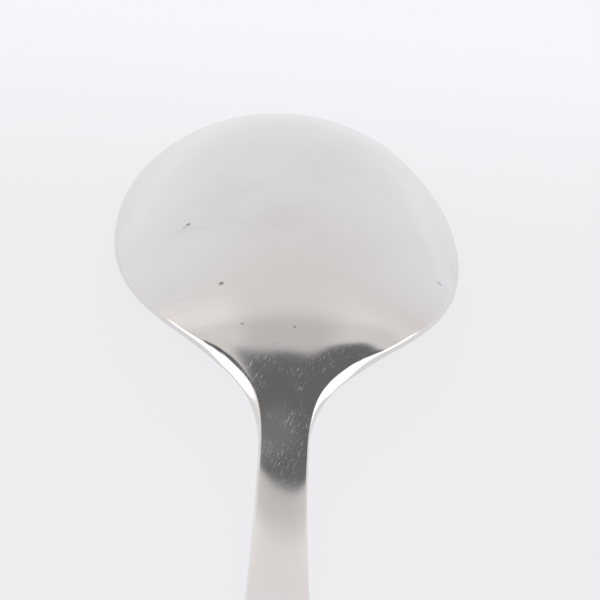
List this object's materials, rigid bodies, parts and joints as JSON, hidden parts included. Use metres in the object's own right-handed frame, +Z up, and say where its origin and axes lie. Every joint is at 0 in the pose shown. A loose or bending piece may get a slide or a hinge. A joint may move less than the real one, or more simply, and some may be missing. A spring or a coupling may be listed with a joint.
{
  "type": "tablespoon",
  "caption": "One-piece pressed steel tablespoon with an oval bowl, a slim arched neck and a flat flared handle, lying with the back of its bowl up.",
  "frame": {"origin": "on the table plane, under the middle of the spoon's overall box", "axes": "+Y along the spoon towards the tip of the bowl, +X to its right seen from above with the tip away, +Z up from the table, the back of the bowl facing up"},
  "size_m": [0.044, 0.208, 0.0217],
  "materials": {
    "polished_steel": "worn satin polish, smoother on the neck"
  },
  "bodies": {
    "root": {"spoon": "polished_steel"}
  },
  "joints": []
}
